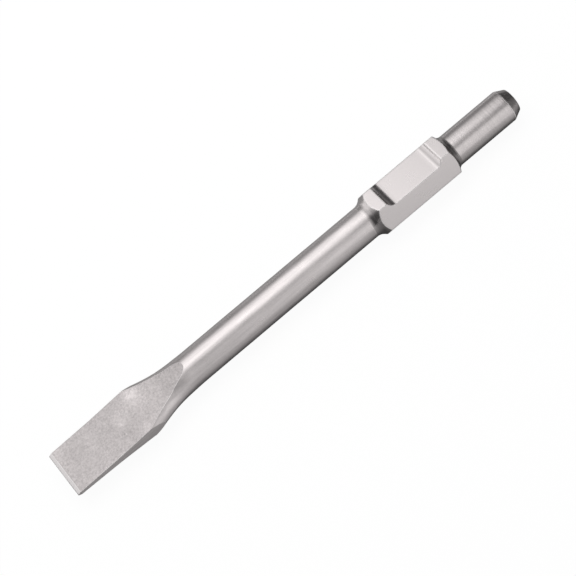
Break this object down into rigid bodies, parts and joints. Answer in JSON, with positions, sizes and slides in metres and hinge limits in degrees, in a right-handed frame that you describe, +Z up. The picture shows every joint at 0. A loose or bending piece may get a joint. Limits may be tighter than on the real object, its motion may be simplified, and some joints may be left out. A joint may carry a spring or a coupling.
{
  "type": "floor scraper chisel",
  "caption": "Forged steel scraper chisel with a wide flat blade, round body, hexagonal shank with a retainer notch, and a round guide end.",
  "frame": {"origin": "centre of the striking face, on the bar's axis", "axes": "+X along the bar from the striking face to the cutting edge; +Z up through the hexagon flat that holds the retainer notch, square to the blade's broad faces; +Y across the blade"},
  "size_m": [0.3757, 0.0356, 0.03],
  "materials": {
    "forged_steel": "satin, shot blasted after forging, with a milled hexagon and a turned guide"
  },
  "bodies": {
    "root": {"chisel": "forged_steel"}
  },
  "joints": []
}
